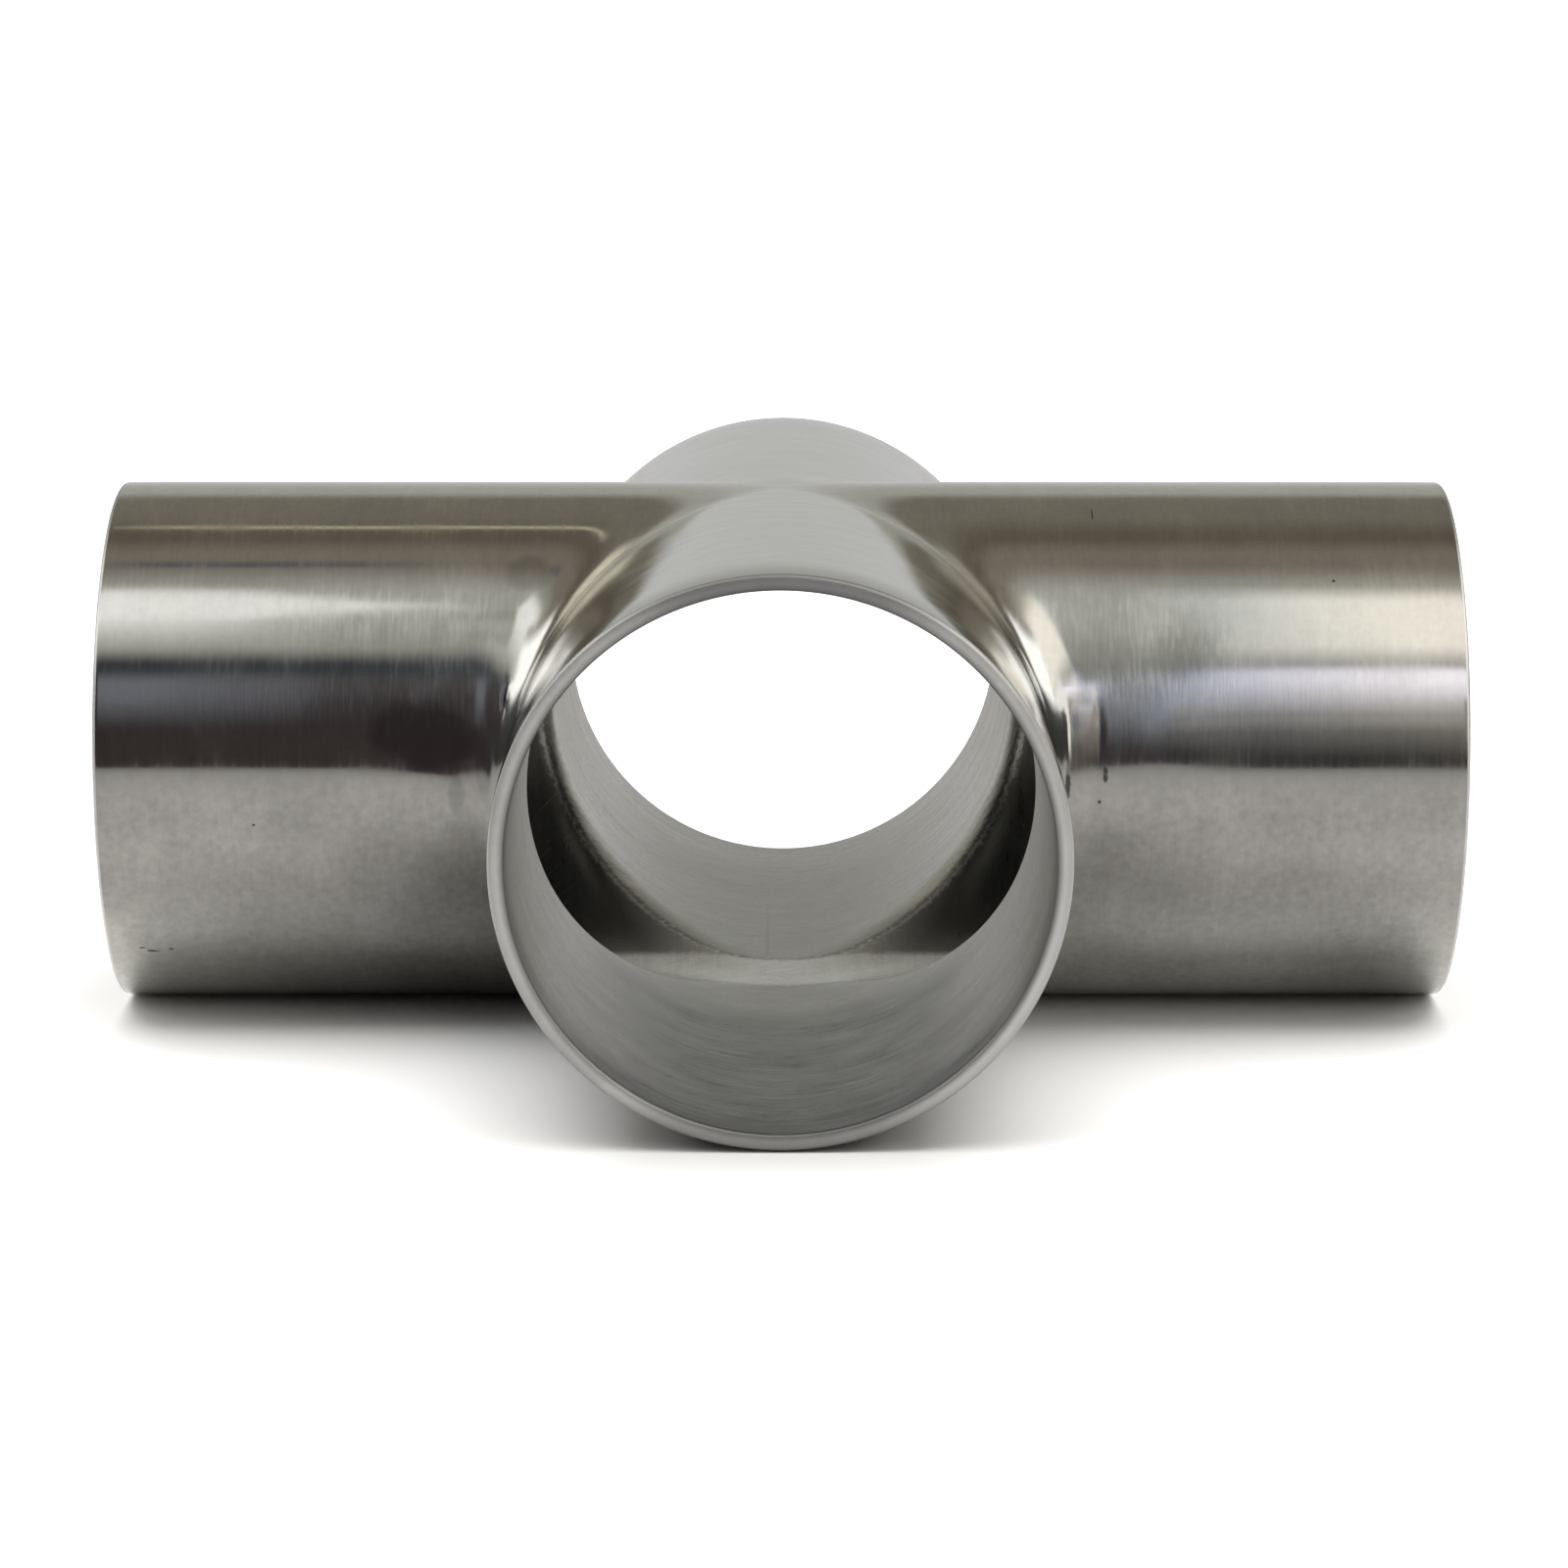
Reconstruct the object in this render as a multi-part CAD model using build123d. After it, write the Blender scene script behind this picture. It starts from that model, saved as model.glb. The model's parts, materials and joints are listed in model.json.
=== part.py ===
"""Equal butt-weld cross for thin-wall round tube, in millimetres.

Two tubes of one size cross at right angles and open into each other. The run lies
along X, the branch along Y, and the origin is where their axes cross. The cross is
one formed piece: four plain round arms with square, deburred ends, and four rounded
crotches between them. A crotch is tightest at mid-height. It widens towards the top
and the bottom, where the four crotches bound a small flat star.
"""

from build123d import *
import math
import os

tube_diameter = 38.0
wall_thickness = 1.2
run_centre_to_end = 48.5
branch_centre_to_end = 48.5
crotch_radius = 2.3
star_radius = 4.0
deburr_width = 0.15
strips_per_crotch = 5

outer_radius = tube_diameter / 2
bore_radius = outer_radius - wall_thickness
# The wall keeps its thickness round a crotch, so the bore's corner has the larger radius.
bore_crotch_radius = crotch_radius + wall_thickness
# The bores are cut from bars that run this far past the arms' ends.
past_end = wall_thickness


def arc_controls(first, last):
    """Control points and weights of a unit circle's arc between two angles in radians."""
    middle = (first + last) / 2
    cosine = math.cos((last - first) / 2)
    points = [
        (math.cos(first), math.sin(first)),
        (math.cos(middle) / cosine, math.sin(middle) / cosine),
        (math.cos(last), math.sin(last)),
    ]
    return points, [1, cosine, 1]


def crotch_skins(radius, corner):
    """The rounded faces between the +X and +Y arms of two crossing bars, as strips.

    At each height the two bars are a plus sign in plan, and its corner is rounded by
    a quarter circle, which grows as the plus narrows towards the top and the bottom.
    The strips lie side by side round the quarter circle, and each runs from the
    bottom star to the top one. The outer two meet the bars smoothly.
    """
    # A half circle of radius one as a Bezier arc, with points of (half-width, height).
    half_circle = [(0, -1), (2, -1), (2, 1), (0, 1)]
    half_circle_weights = [1, 1 / 3, 1 / 3, 1]
    turns = [math.pi * (1 + strip / strips_per_crotch / 2) for strip in range(strips_per_crotch + 1)]
    strips = []
    for first, last in zip(turns, turns[1:]):
        arc, arc_weights = arc_controls(first, last)
        points = []
        for width, height in half_circle:
            rounding = star_radius + (corner - star_radius) * width
            centre = radius * width + rounding
            points.append(
                [(centre + rounding * x, centre + rounding * y, radius * height) for x, y in arc]
            )
        weights = [[along * across for across in arc_weights] for along in half_circle_weights]
        strips.append(Face.make_bezier_surface(points, weights))
    return strips


def arm_skins(radius, corner, reach):
    """The round face and the end face of a bar along +X, between its two crotches."""
    seam_on_top = Plane(origin=(0, 0, 0), x_dir=(0, 0, 1), z_dir=(1, 0, 0))
    bar = seam_on_top * Solid.make_cylinder(radius, reach)
    # The crotches end on two upright planes that meet at the star's tip.
    far = reach + radius
    half_width = (far - star_radius) * radius / (radius + corner - star_radius)
    plan = Polyline((star_radius, 0), (far, half_width), (far, -half_width), close=True)
    sector = extrude(make_face(plan), amount=far, both=True)
    faces = (bar & sector).faces()
    return faces.filter_by(GeomType.CYLINDER) + faces.filter_by(Axis.X)


def crossed_bars(radius, corner, run_reach, branch_reach):
    """The solid of two crossing bars of one radius, with rounded crotches."""
    arms = {0: run_reach, 90: branch_reach, 180: run_reach, 270: branch_reach}
    crotches = ShapeList(
        Rot(Z=angle) * strip for angle in arms for strip in crotch_skins(radius, corner)
    )
    levels = crotches.edges().group_by(Axis.Z)
    stars = [Face(Wire(levels[0])), Face(Wire(levels[-1]))]
    arm_faces = [
        Rot(Z=angle) * face
        for angle, reach in arms.items()
        for face in arm_skins(radius, corner, reach)
    ]
    return Solid(Shell(crotches + stars + arm_faces))


def cross_body():
    """The hollow cross, open at its four ends."""
    outside = crossed_bars(
        outer_radius, crotch_radius, run_centre_to_end, branch_centre_to_end
    )
    inside = crossed_bars(
        bore_radius,
        bore_crotch_radius,
        run_centre_to_end + past_end,
        branch_centre_to_end + past_end,
    )
    wall = outside - inside
    ends = wall.faces().filter_by(Axis.X) + wall.faces().filter_by(Axis.Y)
    return chamfer(ends.edges(), deburr_width)


os.makedirs("parts", exist_ok=True)
export_step(cross_body(), "parts/cross_body.step")
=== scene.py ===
"""Looks of a stainless butt-weld cross: its polished skins, ground rims, floor and lights."""

import functools
import json
import math

import bmesh
import bpy
from bpy.props import FloatProperty, FloatVectorProperty, IntProperty, PointerProperty
from mathutils import Matrix, Vector, noise


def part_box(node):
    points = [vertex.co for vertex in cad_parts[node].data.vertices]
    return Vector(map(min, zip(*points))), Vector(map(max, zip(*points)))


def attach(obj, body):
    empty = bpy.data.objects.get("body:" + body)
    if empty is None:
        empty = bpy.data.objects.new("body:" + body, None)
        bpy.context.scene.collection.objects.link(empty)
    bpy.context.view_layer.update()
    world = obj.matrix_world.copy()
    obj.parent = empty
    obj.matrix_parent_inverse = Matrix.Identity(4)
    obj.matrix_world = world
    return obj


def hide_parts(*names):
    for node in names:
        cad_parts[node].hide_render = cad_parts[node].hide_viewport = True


bl_info = {
    "name": "Butt-weld cross",
    "version": (1, 0, 0),
    "blender": (4, 5, 0),
    "location": "View3D > Sidebar > Cross",
    "description": "Builds a polished stainless cross fitting on a pale studio floor",
    "category": "Object",
}

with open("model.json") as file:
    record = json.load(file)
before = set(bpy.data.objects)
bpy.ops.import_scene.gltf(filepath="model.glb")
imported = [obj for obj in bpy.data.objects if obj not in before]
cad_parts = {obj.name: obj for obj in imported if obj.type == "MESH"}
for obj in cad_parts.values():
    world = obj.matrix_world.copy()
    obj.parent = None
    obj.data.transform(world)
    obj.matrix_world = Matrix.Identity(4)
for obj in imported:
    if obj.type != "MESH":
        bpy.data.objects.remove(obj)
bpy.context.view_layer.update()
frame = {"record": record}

MM = 0.001
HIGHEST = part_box("cross_body")[1]
BORE = next(m["dims"]["r_mm"] for m in frame["record"]["mounts"] if m["name"] == "run_bore")


# Sizes and colours that a user would change

class CrossSizes(bpy.types.PropertyGroup):
    """Sizes of the fitting."""

    outer_radius: FloatProperty(
        name="Outer radius", description="Outside radius of every arm",
        default=HIGHEST.z, unit="LENGTH")
    bore_radius: FloatProperty(
        name="Bore radius", description="Inside radius of every arm",
        default=BORE * MM, unit="LENGTH")
    centre_to_end: FloatProperty(
        name="Centre to end", description="Length of an arm from the centre of the cross",
        default=HIGHEST.x, unit="LENGTH")
    crotch_along_run: FloatProperty(
        name="Crotch along run", description="Length of the rounding on the run at mid-height",
        default=3.4 * MM, unit="LENGTH")
    crotch_along_branch: FloatProperty(
        name="Crotch along branch",
        description="Length of the rounding on the branch at mid-height",
        default=2.1 * MM, unit="LENGTH")
    star_along_run: FloatProperty(
        name="Star along run", description="Reach of the flat star along the run",
        default=7.5 * MM, unit="LENGTH")
    star_along_branch: FloatProperty(
        name="Star along branch", description="Reach of the flat star along the branch",
        default=3.5 * MM, unit="LENGTH")
    bore_star: FloatProperty(
        name="Star in the bore", description="Reach of the flat star inside the bore",
        default=4.8 * MM, unit="LENGTH")
    unevenness: FloatProperty(
        name="Unevenness", description="Height of the dents near the welds",
        default=0.012 * MM, unit="LENGTH")
    rim_rounding: FloatProperty(
        name="Rim rounding", description="Width of the rounded edges of the rims",
        default=0.25 * MM, unit="LENGTH")
    around: IntProperty(
        name="Steps round an arm", description="Faces round half of an arm",
        default=112, min=16)


class SteelFinish(bpy.types.PropertyGroup):
    """Colour and polish of the steel."""

    colour: FloatVectorProperty(
        name="Steel", description="Colour of the polished steel",
        default=(0.62, 0.612, 0.59), subtype="COLOR", size=3, min=0, max=1)
    gloss_roughness: FloatProperty(
        name="Outside roughness", description="Roughness of the polished outside",
        default=0.07, subtype="FACTOR", min=0, max=1)
    bore_roughness: FloatProperty(
        name="Bore roughness", description="Roughness of the brushed bores",
        default=0.32, subtype="FACTOR", min=0, max=1)
    rim_roughness: FloatProperty(
        name="Rim roughness", description="Roughness of the ground rims",
        default=0.45, subtype="FACTOR", min=0, max=1)


class StudioSettings(bpy.types.PropertyGroup):
    """Floor, lights and camera."""

    floor_colour: FloatVectorProperty(
        name="Floor", description="Colour of the pale floor",
        default=(0.9, 0.9, 0.9), subtype="COLOR", size=3, min=0, max=1)
    table_colour: FloatVectorProperty(
        name="Table", description="Colour of the table that the steel reflects",
        default=(0.272, 0.267, 0.262), subtype="COLOR", size=3, min=0, max=1)
    sun_strength: FloatProperty(
        name="Soft light", description="Strength of the wide overhead light",
        default=4.0, min=0)
    room_strength: FloatProperty(
        name="Room", description="Strength of the room's light",
        default=1.0, min=0)
    lens: FloatProperty(
        name="Lens", description="Focal length of the camera in millimetres",
        default=108.88, min=1)


# Shader expressions

class Wire:
    """A socket of a node tree. Arithmetic on it adds Math nodes."""

    def __init__(self, tree, socket):
        self.tree, self.socket = tree, socket

    def maths(self, operation, *values):
        return node(self.tree, "ShaderNodeMath", {"operation": operation}, *values)[0]

    def __add__(self, other):
        return self.maths("ADD", self, other)

    def __sub__(self, other):
        return self.maths("SUBTRACT", self, other)

    def __rsub__(self, other):
        return self.maths("SUBTRACT", other, self)

    def __mul__(self, other):
        return self.maths("MULTIPLY", self, other)

    def __truediv__(self, other):
        return self.maths("DIVIDE", self, other)

    def __rtruediv__(self, other):
        return self.maths("DIVIDE", other, self)

    def __pow__(self, other):
        return self.maths("POWER", self, other)

    def __neg__(self):
        return self.maths("MULTIPLY", self, -1)

    def __abs__(self):
        return self.maths("ABSOLUTE", self)

    __radd__ = __add__
    __rmul__ = __mul__

    def step(self, start, end):
        """0 at start and 1 at end, with a smooth rise between them."""
        settings = {"interpolation_type": "SMOOTHSTEP"}
        return node(self.tree, "ShaderNodeMapRange", settings,
                    Value=self, **{"From Min": start, "From Max": end})[0]

    def least(self, other):
        return self.maths("MINIMUM", self, other)

    def most(self, other):
        return self.maths("MAXIMUM", self, other)

    def between(self, start, full, fading, gone):
        """1 from full to fading, with a smooth rise before and a smooth fall after."""
        return self.step(start, full) * (1 - self.step(fading, gone))


def node(tree, kind, settings=None, *values, **named):
    """Adds a node with its settings, then its sockets' values or links, and returns its outputs."""
    made = tree.nodes.new(kind)
    for name, setting in (settings or {}).items():
        if name == "stops":
            fill_ramp(made.color_ramp, setting)
        else:
            setattr(made, name, setting)
    sockets = list(zip(made.inputs, values)) + [(made.inputs[name], v) for name, v in named.items()]
    for socket, value in sockets:
        if isinstance(value, Wire):
            tree.links.new(value.socket, socket)
        else:
            socket.default_value = value
    return [Wire(tree, socket) for socket in made.outputs]


def fill_ramp(ramp, stops):
    """Sets a colour ramp's stops, given as (position, colour)."""
    while len(ramp.elements) < len(stops):
        ramp.elements.new(1)
    for element, (position, colour) in zip(ramp.elements, stops):
        element.position = position
        element.color = (*colour, 1)


def mix_colour(tree, factor, first, second):
    """Blends two colours, given as values or wires."""
    made = tree.nodes.new("ShaderNodeMix")
    made.data_type = "RGBA"
    for index, value in ((0, factor), (6, first), (7, second)):
        if isinstance(value, Wire):
            tree.links.new(value.socket, made.inputs[index])
        elif index == 0:
            made.inputs[index].default_value = value
        else:
            made.inputs[index].default_value = (*value, 1)
    return Wire(tree, made.outputs[2])


def new_material(name):
    """An empty material and its node tree."""
    material = bpy.data.materials.new(name)
    material.use_nodes = True
    material.node_tree.nodes.clear()
    return material, material.node_tree


# The skins of the cross

# Vertices nearer than this are merged.
MERGE = 1e-7
# Faces along a quarter of a skin, and the middle share of them that the crotch takes
OUTSIDE_STEPS, OUTSIDE_ROUNDED = 120, 0.3
BORE_STEPS, BORE_ROUNDED = 48, 0.35
# Power that flattens the crotch's ellipse
FLATTENING = 0.77
# Share of the even spacing in the steps along an arm, which grow towards its end
EVEN_SHARE = 0.22
# Sizes of the flat star's rings, each as a share of the one around it
STAR_RINGS = (0.97, 0.9, 0.7, 0.5, 0.1)
# Distance of an extra loop from an arm's end
END_LOOP = 0.5 * MM


def plan_point(along, half_width, corner, reach, rounded):
    """A point of the plan's line from the run's end round the crotch to the branch's end.

    along runs from -1 to 1, and the middle share of it, rounded, is the crotch. corner
    holds the lengths that the crotch takes of the run and of the branch. It is a
    flattened ellipse, so that it sets out from the arms without a jump in its bend.
    """
    side = abs(along)
    if side <= rounded:
        turn = math.pi / 4 * (1 + along / rounded)
        sine, cosine = (max(part, 0) ** FLATTENING for part in (math.sin(turn), math.cos(turn)))
        return half_width + corner[0] * (1 - sine), half_width + corner[1] * (1 - cosine)
    share = (side - rounded) / (1 - rounded)
    contact = half_width + corner[along > 0]
    out = contact + (reach - contact) * (EVEN_SHARE * share + (1 - EVEN_SHARE) * share ** 4)
    return (out, half_width) if along < 0 else (half_width, out)


def build_skin(bm, radius, middle, star, reach, along_steps, around_steps, rounded):
    """Adds one skin of the cross: a quarter made from a grid, mirrored to all four quarters.

    middle and star hold the crotch's lengths along the run and the branch, at mid-height
    and at the hub's top and bottom, where it bounds a small flat star.
    """
    made = bmesh.ops.create_grid(bm, x_segments=along_steps, y_segments=around_steps, size=1)
    for vert in made["verts"]:
        height = math.pi / 2 * vert.co.y
        share = max(math.cos(height), 0)
        if abs(vert.co.y) > 1 - 1e-6:
            share = 0
        corner = [top + (low - top) * share for low, top in zip(middle, star)]
        x, y = plan_point(vert.co.x, radius * share, corner, reach, rounded)
        vert.co = (x, y, radius * math.sin(height))
    for axis in ("X", "Y"):
        bmesh.ops.mirror(bm, geom=bm.verts[:] + bm.edges[:] + bm.faces[:],
                         matrix=Matrix.Identity(4), merge_dist=MERGE, axis=axis)
    bmesh.ops.remove_doubles(bm, verts=bm.verts, dist=MERGE)
    for level in (-radius, radius):
        edges = [e for e in bm.edges if e.is_boundary
                 and all(abs(v.co.z - level) < MERGE and v.co.xy.length < reach - 1e-6
                         for v in e.verts)]
        for shrink in STAR_RINGS:
            grown = bmesh.ops.extrude_edge_only(bm, edges=edges)["geom"]
            edges = [part for part in grown if isinstance(part, bmesh.types.BMEdge)
                     and part.is_boundary]
            verts = [part for part in grown if isinstance(part, bmesh.types.BMVert)]
            bmesh.ops.scale(bm, vec=(shrink, shrink, 1), verts=verts)
        bmesh.ops.holes_fill(bm, edges=edges, sides=0)
    for near_end in (reach - END_LOOP, END_LOOP - reach):
        for across in ((1, 0, 0), (0, 1, 0)):
            bmesh.ops.bisect_plane(bm, geom=bm.verts[:] + bm.edges[:] + bm.faces[:], dist=MERGE,
                                   plane_co=Vector(across) * near_end, plane_no=across)
    bmesh.ops.recalc_face_normals(bm, faces=bm.faces)


def swell(value, centre, width):
    """A smooth bump from 0 to 1 and back, with its middle at centre."""
    return math.exp(-((value - centre) / width) ** 2)


def rise(value, centre, width):
    """A smooth rise from 0 to 1, half way up at centre."""
    return (1 + math.tanh((value - centre) / width / 2)) / 2


# Height in millimetres across the weld by the right front crotch, from the fold outwards
BEAD = [(19.8, 0), (20.15, -0.075), (20.35, -0.078), (20.6, -0.024), (21.0, 0.02),
        (21.5, 0.028), (22.0, 0.005), (22.3, -0.045), (22.75, -0.026), (27, 0)]
# Level at which the bead begins and ends, and how softly, in millimetres
BEAD_FOOT, BEAD_HEAD = (-1.5, 0.5), (5.4, 0.3)

# Bumps and dents by the front crotches, in millimetres: height, then middle and width in X and Z
BUMPS = [
    (0.05, (26.5, 3.8), (3.2, 2.0)),
    (0.08, (-19.9, 0.9), (7.3, 2.8)),
    (-0.08, (-20.5, 0.25), (2.0, 2.2)),
    (-0.05, (-25.2, 2.6), (2.6, 2.0)),
    (0.06, (-23.0, 1.6), (-1.5, 2.0)),
    (0.03, (-21.6, 1.3), (10.6, 0.8)),
]


def height_at(value, corners):
    """Height at a value on a line of straight pieces, and 0 beyond its ends."""
    for (first, low), (last, high) in zip(corners, corners[1:]):
        if first <= value <= last:
            return low + (high - low) * (value - first) / (last - first)
    return 0


def weld_relief(point):
    """Height in millimetres of the weld beads, creases and dents by the front crotches."""
    x, y, z = point / MM
    if y > 0:
        return 0
    wander = 0.15 * noise.noise((z * 0.7, 0, 0))
    bead = height_at(x + wander * 0.5, BEAD) * rise(z, *BEAD_FOOT) * (1 - rise(z, *BEAD_HEAD))
    cap = 0.05 * swell(z, 6.5 + wander, 0.3) * swell(x, 21.0, 1.1)
    hollow = 0.04 * rise(x, 18.5, 0.33) * (1 - rise(x, 28.5, 1.25)) * swell(z, 9.4, 2.2)
    crease = 0.11 * swell(x, -19.4 + 0.1 * (z - 6), 0.22) * swell(z, 5.8, 1.2)
    bumps = sum(height * swell(x, *across) * swell(z, *up) for height, across, up in BUMPS)
    return bead + cap - hollow - crease + bumps


# Reach of the small dents from a fold, and sizes of the small dents and the wide waves
DENT_REACH, DENT_SIZE, WAVE_SIZE = 3.5 * MM, 1.4 * MM, 6.5 * MM
# The hub's top stays true above this level, out to this distance.
TRUE_LEVEL, TRUE_REACH = 18.4 * MM, 40 * MM
# Length over which an arm's end is drawn in, and by how much on the run and the branch
DRAWN_LENGTH, RUN_DRAWN_IN, BRANCH_DRAWN_IN = 4.5 * MM, 0.03 * MM, 0.13 * MM


def roughen(bm, radius, reach, unevenness):
    """Gives a skin its weld beads, its dents and waves, and its slightly drawn-in ends."""
    bm.normal_update()
    moves = []
    for vert in bm.verts:
        outer = max(abs(vert.co.x), abs(vert.co.y))
        if vert.co.z > TRUE_LEVEL and outer < TRUE_REACH:
            continue
        fold = outer - math.sqrt(max(radius ** 2 - vert.co.z ** 2, 0))
        near = math.exp(-(max(fold, 0) / DENT_REACH) ** 2)
        dents = noise.noise(vert.co / DENT_SIZE) * near
        waves = noise.noise(vert.co / WAVE_SIZE) * 0.7
        end = max(outer - reach + DRAWN_LENGTH, 0) / DRAWN_LENGTH
        drawn_in = BRANCH_DRAWN_IN if abs(vert.co.y) > abs(vert.co.x) else RUN_DRAWN_IN
        height = (dents + waves) * unevenness + weld_relief(vert.co) * MM - drawn_in * end ** 2
        moves.append((vert, height))
    for vert, height in moves:
        vert.co += vert.normal * height
        vert.co.z = min(max(vert.co.z, -radius), radius)


def end_edges(bm, reach):
    """The open edges at the arms' ends, one list for each end."""
    ends = {}
    for edge in bm.edges:
        if not edge.is_boundary:
            continue
        middle = (edge.verts[0].co + edge.verts[1].co) / 2
        for axis in (0, 1):
            if abs(abs(middle[axis]) - reach) < 1e-6:
                ends.setdefault((axis, middle[axis] > 0), []).append(edge)
    return list(ends.values())


class CROSS_OT_body(bpy.types.Operator):
    """Builds the whole fitting with its skins, rims and crotch marks"""

    bl_idname = "cross.body"
    bl_label = "Fitting"

    def execute(self, context):
        sizes, finish = context.scene.cross_sizes, context.scene.steel_finish
        reach = sizes.centre_to_end
        wall = sizes.outer_radius - sizes.bore_radius
        skins = bmesh.new()
        outer = bmesh.new()
        middle = (sizes.crotch_along_run, sizes.crotch_along_branch)
        star = (sizes.star_along_run, sizes.star_along_branch)
        build_skin(outer, sizes.outer_radius, middle, star, reach,
                   OUTSIDE_STEPS, sizes.around, OUTSIDE_ROUNDED)
        roughen(outer, sizes.outer_radius, reach, sizes.unevenness)
        inner = bmesh.new()
        middle = (sizes.crotch_along_run + wall, sizes.crotch_along_branch + wall)
        star = (sizes.bore_star, sizes.bore_star)
        build_skin(inner, sizes.bore_radius, middle, star, reach,
                   BORE_STEPS, sizes.around, BORE_ROUNDED)
        for part, index in ((outer, 0), (inner, 1)):
            for face in part.faces:
                face.material_index = index
            if index == 1:
                bmesh.ops.reverse_faces(part, faces=part.faces)
            mesh = bpy.data.meshes.new("skin")
            part.to_mesh(mesh)
            part.free()
            skins.from_mesh(mesh)
            bpy.data.meshes.remove(mesh)
        rims = []
        for loop in end_edges(skins, reach):
            made = bmesh.ops.bridge_loops(skins, edges=loop)
            for face in made["faces"]:
                face.material_index = 2
            rims += made["faces"]
        bmesh.ops.recalc_face_normals(skins, faces=skins.faces)
        rim_edges = {e for f in rims for e in f.edges
                     if len({g.material_index for g in e.link_faces}) == 2}
        made = bmesh.ops.bevel(skins, geom=list(rim_edges), offset=sizes.rim_rounding, segments=4,
                               profile=0.5, affect="EDGES", material=-1)
        for face in made["faces"]:
            face.material_index = 2
        mesh = bpy.data.meshes.new("cross_steel")
        skins.to_mesh(mesh)
        skins.free()
        mesh.shade_smooth()
        piece = bpy.data.objects.new("cross_steel", mesh)
        context.scene.collection.objects.link(piece)
        mesh.materials.append(outside_steel(finish))
        mesh.materials.append(bore_steel(finish))
        mesh.materials.append(rim_steel(finish))
        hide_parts("cross_body")
        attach(piece, "root")
        return {"FINISHED"}


def region(tree, place):
    """The coordinates, and 1 on the run and 0 on the branch with a blend at the mitre."""
    x, y, z = node(tree, "ShaderNodeSeparateXYZ", None, place)
    return x, y, z, (abs(x) - abs(y)).step(-0.3 * MM, 0.3 * MM)


def lines_round(tree, place, on_run, width, length, detail):
    """Noise drawn out into lines round the arms, of a width and length in millimetres."""
    across, round_ = 1 / (width * MM), 1 / (length * MM)
    fields = []
    for scales in ((across, round_, round_), (round_, across, round_)):
        spread = node(tree, "ShaderNodeVectorMath", {"operation": "MULTIPLY"}, place, scales)[0]
        fields.append(node(tree, "ShaderNodeTexNoise", None,
                           Vector=spread, Scale=1.0, Detail=detail)[0])
    return fields[0] * on_run + fields[1] * (1 - on_run)


def clouds(tree, place, size, detail):
    """Soft noise with patches of a size in millimetres."""
    return node(tree, "ShaderNodeTexNoise", None,
                Vector=place, Scale=1 / (size * MM), Detail=detail)[0]


def slanted(tree, x, y, z, width, length, slope):
    """Noise drawn out along a slanted direction in the XZ plane, for grinding scratches."""
    first = (x * math.cos(slope) + z * math.sin(slope)) / (length * MM)
    second = (z * math.cos(slope) - x * math.sin(slope)) / (width * MM)
    spread = node(tree, "ShaderNodeCombineXYZ", None, first, second, y / (length * MM))[0]
    return node(tree, "ShaderNodeTexNoise", None, Vector=spread, Scale=1.0, Detail=2.0)[0]


def spot(x, z, centre, half, wobble):
    """1 inside a spot on the front of the run, in millimetres, with ragged edges."""
    across = (x / MM - centre[0]) / half[0]
    up = (z / MM - centre[1]) / half[1]
    return 1 - (across * across + up * up + wobble).step(0.2, 1.0)


def strongest(fields):
    """The largest of several fields at each point."""
    return functools.reduce(Wire.most, fields)


def shade(colour, share):
    """A colour made lighter or darker by a share."""
    return tuple(min(1, part * share) for part in colour)


def steel_shader(tree, colour, metallic, roughness, grain_depth, height):
    """Ends a material with a steel shader, with a bump as deep as grain_depth millimetres."""
    normal = node(tree, "ShaderNodeBump", None,
                  Strength=1.0, Distance=grain_depth * MM, Height=height)[0]
    shader = node(tree, "ShaderNodeBsdfPrincipled", None, **{
        "Base Color": colour, "Metallic": metallic, "Roughness": roughness, "Normal": normal})[0]
    node(tree, "ShaderNodeOutputMaterial", None, shader)


# Weld black on the front of the run, and painted shade in the left crease, in millimetres: middle
# in X and Z, half width and height
MARKS = [
    ((20.15, 0.0), (0.25, 1.2)),
    ((22.8, 0.6), (0.25, 0.7)),
    ((22.4, -1.3), (0.15, 0.15)),
    # Painted shade in the crease by the left front crotch
    ((-19.4, 5.9), (0.16, 0.9)),
    ((22.4, 17.6), (0.07, 0.35)),
    ((-45.2, -13.2), (0.6, 0.12)),
    ((-43.9, -13.0), (0.3, 0.12)),
    ((-46.0, -12.9), (0.3, 0.1)),
    ((39.2, 13.6), (0.14, 0.1)),
    ((-37.2, -3.0), (0.16, 0.1)),
]

# Dark patches there, with their strength and how ragged they are
DARK_PATCHES = [
    ((-25.2, 3.4), (4.0, 2.7), 0.8, 2.0),
    ((-22.9, -0.9), (0.7, 1.7), 0.5, 1.5),
    ((-20.9, 1.0), (0.6, 2.2), 0.4, 1.5),
    ((-18.0, 14.0), (1.9, 1.2), 0.6, 1.5),
]

# Colours of the marks on the steel, and of the painted shade and painted highlights on it
WELD_BLACK = (0.06, 0.058, 0.055)
END_SHADE_GREY = (0.3, 0.3, 0.29)
BORE_SHADE_GREY = (0.10, 0.10, 0.097)
DULL_SHADE_GREY = (0.12, 0.12, 0.112)
JOINT_GREY = (0.12, 0.12, 0.115)
STRIP_HIGHLIGHT = (0.86, 0.86, 0.87)
BRIGHT_SPECKS = (0.7, 0.7, 0.69)
RIM_GREY = (0.62, 0.615, 0.605)
RIM_HIGHLIGHT = (0.96, 0.96, 0.95)
RIM_SHADE = (0.26, 0.255, 0.26)
OUTER_EDGE_SHADE = (0.25, 0.25, 0.25)
INNER_EDGE_SHADE = (0.12, 0.12, 0.12)


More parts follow.
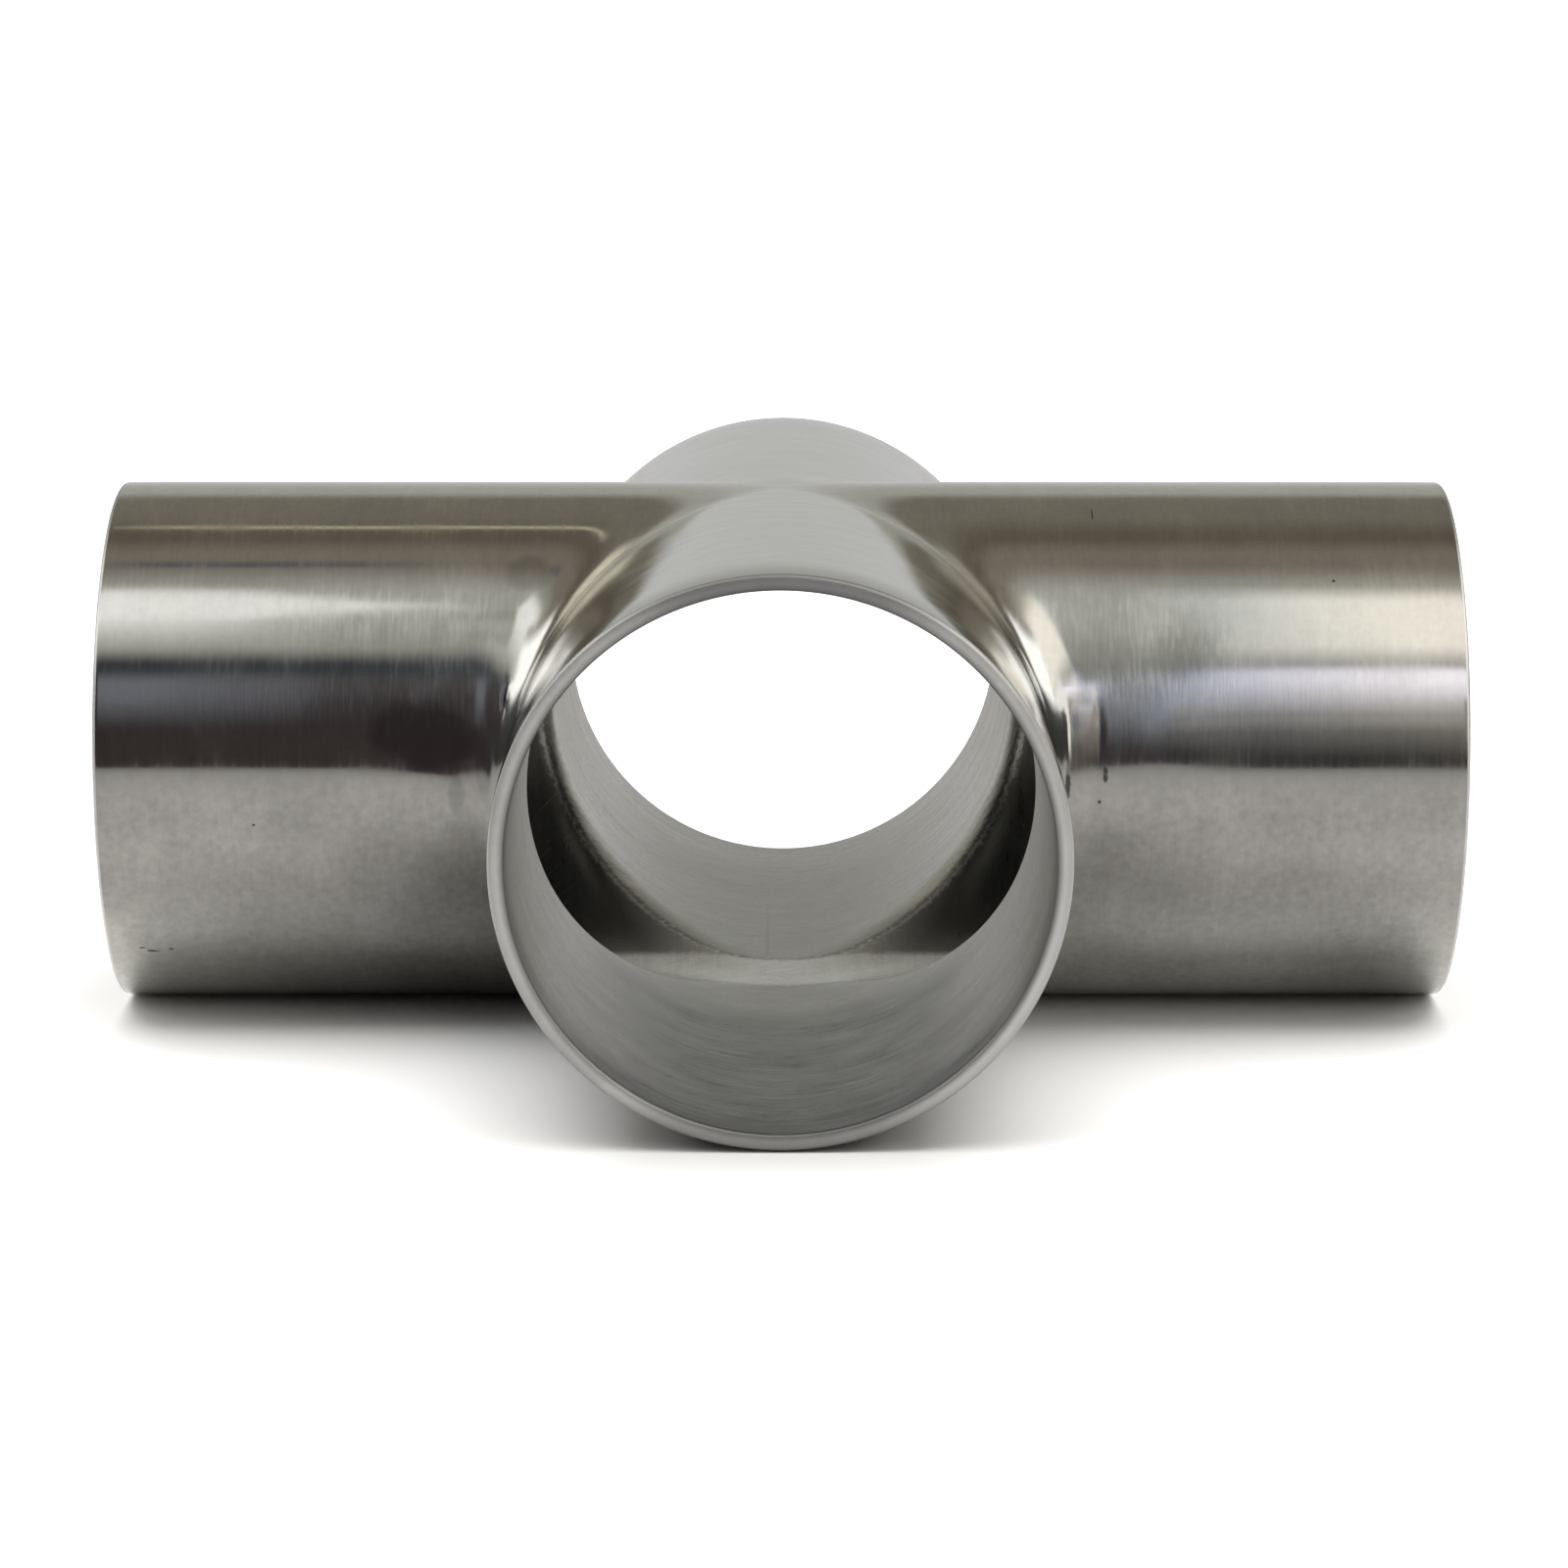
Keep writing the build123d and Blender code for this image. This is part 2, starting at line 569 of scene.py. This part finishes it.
def outside_steel(finish):
    """Polished steel with fine lines round the arms, soft clouds, weld marks, dark patches, and
    painted shade in the left crease and on the branch's top near its end.
    """
    material, tree = new_material("outside_steel")
    place = node(tree, "ShaderNodeTexCoord")[3]
    x, y, z, on_run = region(tree, place)
    fine = lines_round(tree, place, on_run, 0.24, 2.2, 2.0)
    wide = lines_round(tree, place, on_run, 1.1, 9, 2.0)
    patch = clouds(tree, place, 5.5, 3.0)
    cloud = clouds(tree, place, 12, 2.0)
    grain = clouds(tree, place, 0.6, 4.0)
    hatch = slanted(tree, x, y, z, 0.25, 3.5, 0.6)
    lower = 1 - z.step(-2 * MM, 1.5 * MM)
    front = 1 - y.step(-2 * MM, 0)
    fold = 1 - abs(abs(x) - abs(y)).step(0.5 * MM, 5 * MM)
    lines = (fine - 0.5) * patch * 0.9 + (wide - 0.5) * 0.5
    tone = (0.5 + lines * (1.8 - on_run) + (patch - 0.5) * (0.7 + 0.5 * lower)
            + (grain - 0.5) * (0.4 + 0.9 * lower) + (hatch - 0.5) * 0.5 * patch * lower
            + (cloud - 0.5) * lower * 0.6)
    colour = mix_colour(tree, tone.most(0).least(1),
                        shade(finish.colour, 0.80), shade(finish.colour, 1.16))
    ragged = (grain - 0.5) * 1.8
    # Weld black, dark patches and painted shade in the left crease, on the front of the run only
    marks = strongest(spot(x, z, centre, half, ragged) for centre, half in MARKS)
    dark_patches = strongest(spot(x, z, centre, half, (patch - 0.5) * rough) * strength
                        for centre, half, strength, rough in DARK_PATCHES)
    dark_marks_and_crease_shade = (marks * 0.85).most(dark_patches * 0.45) * front
    colour = mix_colour(tree, dark_marks_and_crease_shade, colour, WELD_BLACK)
    # Painted shade: the top of the branch darker near its front end
    near_end = (-y).step(42.5 * MM, 48 * MM) * z.step(0, 10 * MM) * (1 - on_run)
    colour = mix_colour(tree, near_end * 0.7, colour, END_SHADE_GREY)
    roughness = (finish.gloss_roughness + (fine - 0.45).most(0) * 0.16
                 + (patch - 0.45).most(0) * 0.25 + fold * 0.05)
    band = 1 - z.step(6.3 * MM, 8.5 * MM) * on_run
    height = ((fine * patch * 0.9 + wide * 0.25) * (0.2 + 0.9 * band)
              + hatch * patch * 0.6 * lower + grain * 0.12 * fold)
    steel_shader(tree, colour, 1.0, roughness, 0.0024, height)
    return material


def bore_steel(finish):
    """Brushed steel inside the bores with weld seams, a duller band deep in the run painted dark as
    shade, painted shade low and towards the front, and a light floor strip that is partly a painted
    highlight.
    """
    material, tree = new_material("bore_steel")
    place = node(tree, "ShaderNodeTexCoord")[3]
    x, y, z, on_run = region(tree, place)
    fine = lines_round(tree, place, on_run, 0.18, 5, 3.0)
    wide = lines_round(tree, place, on_run, 1.2, 16, 2.0)
    patch = clouds(tree, place, 4, 3.0)
    grain = clouds(tree, place, 0.45, 3.0)
    hatch = slanted(tree, x, z, y, 0.16, 5, 0.7)
    tone = (0.5 + (fine - 0.5) * 1.3 + (wide - 0.5) * 0.7 + (patch - 0.5) * 0.7
            + (grain - 0.5) * 0.9 + (hatch - 0.5) * 0.9)
    colour = mix_colour(tree, tone.most(0).least(1),
                        shade(finish.colour, 0.6), shade(finish.colour, 1.34))
    # Painted shade: the bore darker at the bottom and towards the front, darker in the run's bores
    # seen from the front, with a painted shadow band just inside the front rims
    front = 1 - y.step(-20 * MM, -10 * MM)
    low = 1 - z.step(-17.8 * MM, -9 * MM)
    # A light strip along the floor of the crossing: partly a real mottled weld strip, partly a
    # painted highlight of light from above; the painted shade stays off it
    strip_and_highlight = (1 - (abs(y) + (grain - 0.5) * 2 * MM).step(3.9 * MM, 4.9 * MM)) * low
    bore_shade = low * (0.44 + 0.26 * front - 0.2 * y.step(30 * MM, 48 * MM)) + 0.12 * front
    bore_shade = bore_shade + (-y).step(42.5 * MM, 47.8 * MM) * 0.4
    bore_shade = bore_shade + (x.step(4 * MM, 16 * MM) * 0.2 + (-x).step(8 * MM, 17 * MM) * 0.08) * front
    bore_shade = (bore_shade + (tone - 0.5) * 0.5 * bore_shade).least(1)
    colour = mix_colour(tree, bore_shade * (1 - strip_and_highlight * 0.95), colour, BORE_SHADE_GREY)
    colour = mix_colour(tree, strip_and_highlight * 0.35, colour, STRIP_HIGHLIGHT)
    # Deep in the run's bores behind the seam: a duller band of steel, painted dark as the shade
    # inside them; scratches lighten it
    depth = abs(x)
    bend = ((depth / MM) ** 4 + 4.3 ** 4) ** 0.25
    split = bend - abs(y) / MM + (grain - 0.5) * 1.6
    dull_and_shaded = (split.step(0.3, 1.0) * depth.between(5 * MM, 11 * MM, 27 * MM, 40 * MM)
            * y.step(3.4 * MM, 4.9 * MM))
    scratch = (hatch - 0.66).most(0) * 4 * (1 - x.step(-14 * MM, -13 * MM))
    colour = mix_colour(tree, dull_and_shaded * (0.9 - scratch).most(0.3), colour, DULL_SHADE_GREY)
    seam = (1 - abs(split + 0.1).step(0.05, 0.6)) * (0.4 + patch).least(1)
    colour = mix_colour(tree, seam * 0.6 * y.step(0, 2 * MM), colour, WELD_BLACK)
    specks = ((grain - 0.56).most(0) * 9).least(1) * (1 - abs(split - 0.6).step(0.4, 1.3))
    inmost = 1 - depth.step(8 * MM, 12 * MM)
    colour = mix_colour(tree, specks * inmost * 0.6 * low, colour, BRIGHT_SPECKS)
    joint = 1 - abs(x + 1.1 * MM + (grain - 0.5) * 0.2 * MM).step(0.03 * MM, 0.22 * MM)
    joint = joint * low * y.between(5 * MM, 6 * MM, 10 * MM, 34 * MM)
    colour = mix_colour(tree, joint * 0.24, colour, JOINT_GREY)
    roughness = finish.bore_roughness + (patch - 0.5) * 0.12 + (fine - 0.5) * 0.2
    height = fine + wide * 0.5 + grain * 0.8 * (1 - abs(split).step(0.5, 2))
    steel_shader(tree, colour, 1.0, roughness, 0.008, height)
    return material


def rim_steel(finish):
    """Ground steel on the rims, with fine marks, painted highlights low on the branch's rims, and
    painted shade at the rims' tops, feet and edges.
    """
    material, tree = new_material("rim_steel")
    place = node(tree, "ShaderNodeTexCoord")[3]
    patch = clouds(tree, place, 4, 3.0)
    grain = clouds(tree, place, 0.4, 2.0)
    tone = (0.5 + (patch - 0.5) * 1.2 + (grain - 0.5) * 0.5).most(0).least(1)
    colour = mix_colour(tree, tone, shade(RIM_GREY, 1.08), shade(RIM_GREY, 1.45))
    x, y, z, on_run = region(tree, place)
    from_axis = (z * z + y * y * on_run + x * x * (1 - on_run)) ** 0.5 / MM
    # Painted highlights: the lower right of the branch's rims and a spot low on their left
    right = x.step(4 * MM, 14 * MM) * (1 - z.step(-8 * MM, 10 * MM)) * (1 - on_run)
    painted_rim_highlight = right.most(spot(x, z, (-9.8, -15.3), (3.2, 1.6), (grain - 0.5) * 1.5))
    colour = mix_colour(tree, painted_rim_highlight * 0.6, colour, RIM_HIGHLIGHT)
    # Painted shade at the top of every rim and, weaker, at its foot
    shaded_top_and_foot = z.step(13.5 * MM, 18.4 * MM).most((-z).step(14 * MM, 18.5 * MM) * 0.5)
    colour = mix_colour(tree, shaded_top_and_foot * 0.8, colour, RIM_SHADE)
    # Painted shade on the outer edge of the branch's rims
    shaded_outer_edge = from_axis.step(18.3, 19.0) * (1 - on_run)
    colour = mix_colour(tree, shaded_outer_edge * 0.4, colour, OUTER_EDGE_SHADE)
    # Painted shade along the inner edge of every rim
    shaded_inner_edge = 1 - from_axis.step(17.8, 18.35)
    colour = mix_colour(tree, shaded_inner_edge * 0.75, colour, INNER_EDGE_SHADE)
    steel_shader(tree, colour, 0.8, finish.rim_roughness + (grain - 0.5) * 0.2, 0.006, grain)
    return material


# The studio

def matt_shader(tree, colour):
    """Ends a stage material with a matt shader."""
    shader = node(tree, "ShaderNodeBsdfPrincipled", None, **{
        "Base Color": colour, "Roughness": 0.9, "Specular IOR Level": 0.0})[0]
    node(tree, "ShaderNodeOutputMaterial", None, shader)


def plain_material(name, colour):
    """A matt material of one colour for the stage."""
    material, tree = new_material(name)
    matt_shader(tree, (*colour, 1))
    return material


# Painted light on the table beside the arms, painted shadow of the front branch by the left front
# crotch, and painted light under the cross
TABLE_LIT_BESIDE = (0.36, 0.352, 0.345)
TABLE_SHADOW = (0.155, 0.15, 0.14)
TABLE_LIT_UNDER = (0.92, 0.92, 0.9)
# Y of the table's front edge
TABLE_FRONT = -360 * MM


def table_material(colour):
    """The table that the steel reflects, with painted shade towards its front edge, painted light
    beside the arms and under the cross, and a painted shadow by the left front crotch.
    """
    material, tree = new_material("table")
    place = node(tree, "ShaderNodeTexCoord")[3]
    x, y, z = node(tree, "ShaderNodeSeparateXYZ", None, place)
    # Painted shade: darker towards the front edge
    far = y.step(TABLE_FRONT, -20 * MM)
    tone = mix_colour(tree, far ** 0.6, shade(colour, 0.45), tuple(colour))
    # Painted light beside the arms
    close = y.step(-52 * MM, -30 * MM)
    tone = mix_colour(tree, close * abs(x).step(26 * MM, 38 * MM) * 0.75, tone, TABLE_LIT_BESIDE)
    # Painted shadow of the front branch by the left front crotch
    branch_shadow = x.between(-30 * MM, -24 * MM, -17 * MM, -12 * MM)
    tone = mix_colour(tree, close * branch_shadow * 0.7, tone, TABLE_SHADOW)
    # Painted light under the cross, lifting its contact shade
    lit_under = (-abs(y)).step(-28 * MM, -4 * MM) ** 1.3
    side = (0.57 + 0.55 * x.step(-30 * MM, 12 * MM) - 0.38 * x.step(30 * MM, 44 * MM)
            + 0.32 * (-x).step(26 * MM, 42 * MM))
    tone = mix_colour(tree, (lit_under * side).least(1), tone, TABLE_LIT_UNDER)
    matt_shader(tree, tone)
    return material


# Half the width of a stage plane, in metres
STAGE_HALF = 12


def stage_plane(context, name, front, height, material):
    """A wide level plane that belongs to the stage, from its front edge backwards."""
    bm = bmesh.new()
    bmesh.ops.create_grid(bm, x_segments=1, y_segments=1, size=STAGE_HALF)
    bmesh.ops.translate(bm, verts=bm.verts, vec=(0, STAGE_HALF + front, height))
    mesh = bpy.data.meshes.new(name)
    bm.to_mesh(mesh)
    bm.free()
    plane = bpy.data.objects.new(name, mesh)
    mesh.materials.append(material)
    context.scene.collection.objects.link(plane)
    return plane


# Light of the room's parts, each from one angle to another in degrees, from the horizon in
# front over the top to the horizon behind. The light blends from each part to the next.
ROOM = [
    # Wall in front, its top, and the gap under the ceiling's lamps
    (0, 24, (0.05, 0.04, 0.04)),
    (32, 36, (0.08, 0.07, 0.07)),
    (39, 43, (0.05, 0.06, 0.07)),
    # Lamps in the ceiling
    (50, 66, (0.4, 0.4, 0.35)),
    (71, 78, (0.5, 0.5, 0.45)),
    # Ceiling with a beam across it
    (92, 100, (0.25, 0.22, 0.18)),
    (109, 113, (0.15, 0.13, 0.1)),
    (125, 145, (0.22, 0.2, 0.16)),
    # Wall behind, brighter towards the floor
    (152, 160, (0.45, 0.45, 0.4)),
    (179, 180, (0.6, 0.6, 0.6)),
]


# Light of the window at the right and of what is round it, by the same angles
WINDOW = [
    # Wall under it, its ledge and its sill
    (0, 1, (0.05, 0.05, 0.05)),
    (11, 12, (0.2, 0.2, 0.2)),
    (18, 20, (0.45, 0.45, 0.45)),
    # The window and its frame
    (35, 39, (1.4, 1.4, 1.6)),
    (42, 43, (0.6, 0.6, 0.6)),
    # Lamps above it and the ceiling
    (51, 73, (1.3, 1.3, 1.25)),
    (81, 83, (0.45, 0.45, 0.4)),
    (90, 91, (0.25, 0.25, 0.2)),
]


# Light at both sides by the sine of the angle above the horizon
SIDES = [
    (0.0, (0.04, 0.04, 0.035)),
    (0.42, (0.06, 0.06, 0.06)),
    (0.52, (1.7, 1.7, 1.66)),
    (0.80, (1.7, 1.7, 1.66)),
    (0.88, (0.32, 0.3, 0.25)),
    (1.0, (0.28, 0.26, 0.21)),
]


# Colours of the light from single parts of the room
WINDOW_COOL, WINDOW_WARM = (0.91, 0.98, 1.10), (1.04, 1.0, 0.93)
GAP_LIGHT = (0.25, 0.27, 0.30)
STREAK_DARK = (0.12, 0.12, 0.12)
LAMP_LIGHT = (1.22, 1.22, 1.19)
POOL_LIGHT = (0.60, 0.59, 0.52)
SHEEN_LIGHT = (0.205, 0.218, 0.25)
THIN_DARK = (0.13, 0.135, 0.15)
NEAR_LOW, NEAR_HIGH = (0.13, 0.10, 0.09), (0.41, 0.375, 0.34)
NEAR_BRIGHT, NEAR_TOP = (1.25, 1.2, 1.08), (1.3, 1.3, 1.28)
LINE_LIGHT = (0.62, 0.56, 0.42)
CORNER_LIGHT = (0.85, 0.8, 0.65)


def ramp(tree, stops, place):
    """The colour at a place from 0 to 1 on a ramp of stops."""
    return node(tree, "ShaderNodeValToRGB", {"stops": stops}, place)[0]


def light_by_angle(tree, parts, degrees):
    """The light of a row of parts at an angle up to 180 degrees."""
    stops = [(angle / 180, colour) for first, last, colour in parts for angle in (first, last)]
    return ramp(tree, stops, degrees / 180)


def light_from_left(tree, light, left, degrees):
    """Adds the lamp, the pool of light, the sheen and the thin shadow at the left."""
    half = ((left - 0.078) * 260).most(0.01).least(10)
    glow = left.step(0.088, 0.126) * degrees.between(44, 70, 66, 76)
    lamp = ((1 - (abs(degrees - 70) / half).step(0.5, 1.3)) * (1 - degrees.step(77, 84))).most(glow)
    light = mix_colour(tree, lamp, light, LAMP_LIGHT)
    pool = degrees.between(54, 58, 63, 67) * left.between(0.0, 0.02, 0.068, 0.078)
    light = mix_colour(tree, pool * 0.8, light, POOL_LIGHT)
    sheen = left.between(0.085, 0.13, 0.2, 0.3) * degrees.between(12, 31, 33, 41)
    light = mix_colour(tree, sheen, light, SHEEN_LIGHT)
    thin = left.between(0.07, 0.1, 0.13, 0.17) * degrees.between(90.5, 92, 93.5, 95.5)
    return mix_colour(tree, thin, light, THIN_DARK)


def light_from_right(tree, room, x, degrees):
    """Adds the window at the right, with the darker gap and streak beside it."""
    tint = mix_colour(tree, x.step(0.075, 0.12), WINDOW_COOL, WINDOW_WARM)
    window = light_by_angle(tree, WINDOW, degrees)
    window = node(tree, "ShaderNodeVectorMath", {"operation": "MULTIPLY"}, window, tint)[0]
    gap = x.step(-0.04, 0.01) * degrees.between(14, 38, 43, 47)
    room = mix_colour(tree, gap, room, GAP_LIGHT)
    upper = degrees.step(43, 46)
    reach = x.step(0.045, 0.135) * (1 - upper) + x.step(0.064, 0.118) * upper
    light = mix_colour(tree, reach * (1 - degrees.step(78, 92)), room, window)
    streak = x.between(0.045, 0.06, 0.08, 0.1) * degrees.between(42, 46, 54, 62)
    return mix_colour(tree, streak * 0.35, light, STREAK_DARK)


def light_on_flank(tree, light, x, degrees):
    """Adds what the right flanks of the arms reflect: a dark base and a bright top."""
    flank = x.step(0.15, 0.21) * (1 - degrees.step(43, 49)) * degrees.step(-2, 3)
    flank = flank * (1 - degrees.step(24, 30) * (1 - x.step(0.28, 0.42)))
    near = mix_colour(tree, degrees.step(0, 24), NEAR_LOW, NEAR_HIGH)
    near = mix_colour(tree, x.step(0.28, 0.46) * degrees.step(2, 12), near, NEAR_BRIGHT)
    near = mix_colour(tree, degrees.step(26, 31), near, NEAR_TOP)
    return mix_colour(tree, flank, light, near)


def light_at_sides(tree, light, x, y, z, left):
    """Adds the bright walls at both sides and their far corners."""
    lean = y / abs(x).most(0.01)
    shift = 0.22 * (1 - z.step(0.42, 0.55)) + 0.3 * z.step(0.70, 0.78) * left.step(0, 0.1)
    sides = ((lean + shift).step(-0.8, -0.6) * (1 - lean.step(0.2, 0.4))
             * (1 - z.step(0.86, 0.92)) * abs(x).step(0.2, 0.3))
    light = mix_colour(tree, sides, light, ramp(tree, SIDES, z))
    corner = (abs(x).step(0.22, 0.34) * z.between(0.45, 0.55, 0.72, 0.8)
              * lean.step(0.6, 1.0))
    return mix_colour(tree, corner * (1 - 0.7 * x.step(0, 0.1)), light, CORNER_LIGHT)


def build_room(scene, strength):
    """The room that the steel reflects, as light by direction."""
    world = bpy.data.worlds.new("room")
    world.use_nodes = True
    tree = world.node_tree
    tree.nodes.clear()
    direction = node(tree, "ShaderNodeTexCoord")[0]
    x, y, z = node(tree, "ShaderNodeSeparateXYZ", None, direction)
    left = -x
    turn = node(tree, "ShaderNodeMath", {"operation": "ARCTAN2"}, z, -y)[0]
    slant = x.between(0.02, 0.045, 0.060, 0.082) * 16
    degrees = turn * (180 / math.pi) + slant * (1 - turn.step(1.0, 1.4))
    room = light_by_angle(tree, ROOM, degrees)
    light = light_from_right(tree, room, x, degrees)
    light = light_from_left(tree, light, left, degrees)
    light = light_on_flank(tree, light, x, degrees)
    line = degrees.between(116.2, 117.2, 118.2, 119.2) * left.between(0.0, 0.03, 0.12, 0.17)
    light = mix_colour(tree, line, light, LINE_LIGHT)
    light = light_at_sides(tree, light, x, y, z, left)
    shader = node(tree, "ShaderNodeBackground", None, light, strength)[0]
    node(tree, "ShaderNodeOutputWorld", None, shader)
    scene.world = world


# Where the camera stands and looks, in metres
CAMERA_PLACE = Vector((0.63, -347.2, 59.7)) * MM
CAMERA_TARGET = Vector((0.17, -0.61, -3.36)) * MM
# Spread and tilt of the soft overhead light, in degrees
LIGHT_SPREAD, LIGHT_TILT = 80, -12
# The floor and the reflected table lie this far under the cross, so nothing coincides.
FLOOR_GAP, TABLE_GAP = 0.03 * MM, 0.01 * MM


class CROSS_OT_stage(bpy.types.Operator):
    """Builds the pale floor, the room's light and the camera"""

    bl_idname = "cross.stage"
    bl_label = "Stage"

    def execute(self, context):
        scene, studio = context.scene, context.scene.studio
        scene.view_settings.view_transform = "Standard"
        ground = -context.scene.cross_sizes.outer_radius
        floor = stage_plane(context, "floor", -STAGE_HALF, ground - FLOOR_GAP,
                            plain_material("pale_floor", studio.floor_colour))
        floor.visible_glossy = False
        table = stage_plane(context, "table_in_reflections", TABLE_FRONT, ground - TABLE_GAP,
                            table_material(studio.table_colour))
        table.visible_camera = False
        table.visible_diffuse = False
        table.visible_shadow = False
        build_room(scene, studio.room_strength)
        light = bpy.data.lights.new("soft_overhead", "SUN")
        light.energy = studio.sun_strength
        light.angle = math.radians(LIGHT_SPREAD)
        lamp = bpy.data.objects.new("soft_overhead", light)
        lamp.matrix_world = Matrix.Rotation(math.radians(LIGHT_TILT), 4, "X")
        lamp.visible_glossy = False
        scene.collection.objects.link(lamp)
        camera = bpy.data.objects.new("camera", bpy.data.cameras.new("camera"))
        camera.data.lens = studio.lens
        camera.data.clip_start = 0.01
        turn = (CAMERA_TARGET - CAMERA_PLACE).to_track_quat("-Z", "Y").to_matrix().to_4x4()
        camera.matrix_world = Matrix.Translation(CAMERA_PLACE) @ turn
        scene.collection.objects.link(camera)
        scene.camera = camera
        return {"FINISHED"}


class CROSS_PT_panel(bpy.types.Panel):
    """Lists the steps that build the cross"""

    bl_idname = "CROSS_PT_panel"
    bl_label = "Butt-weld cross"
    bl_space_type = "VIEW_3D"
    bl_region_type = "UI"
    bl_category = "Cross"

    def draw(self, context):
        layout, scene = self.layout, context.scene
        for step in (CROSS_OT_body, CROSS_OT_stage):
            layout.operator(step.bl_idname)
        for group in (scene.cross_sizes, scene.steel_finish, scene.studio):
            for name in group.bl_rna.properties.keys():
                if name not in ("rna_type", "name"):
                    layout.prop(group, name)


CLASSES = (CrossSizes, SteelFinish, StudioSettings, CROSS_OT_body, CROSS_OT_stage, CROSS_PT_panel)


def register():
    for cls in CLASSES:
        bpy.utils.register_class(cls)
    bpy.types.Scene.cross_sizes = PointerProperty(type=CrossSizes)
    bpy.types.Scene.steel_finish = PointerProperty(type=SteelFinish)
    bpy.types.Scene.studio = PointerProperty(type=StudioSettings)


def unregister():
    del bpy.types.Scene.studio
    del bpy.types.Scene.steel_finish
    del bpy.types.Scene.cross_sizes
    for cls in reversed(CLASSES):
        bpy.utils.unregister_class(cls)


def main():
    register()
    bpy.ops.cross.body()
    bpy.ops.cross.stage()


if __name__ == "__main__":
    main()
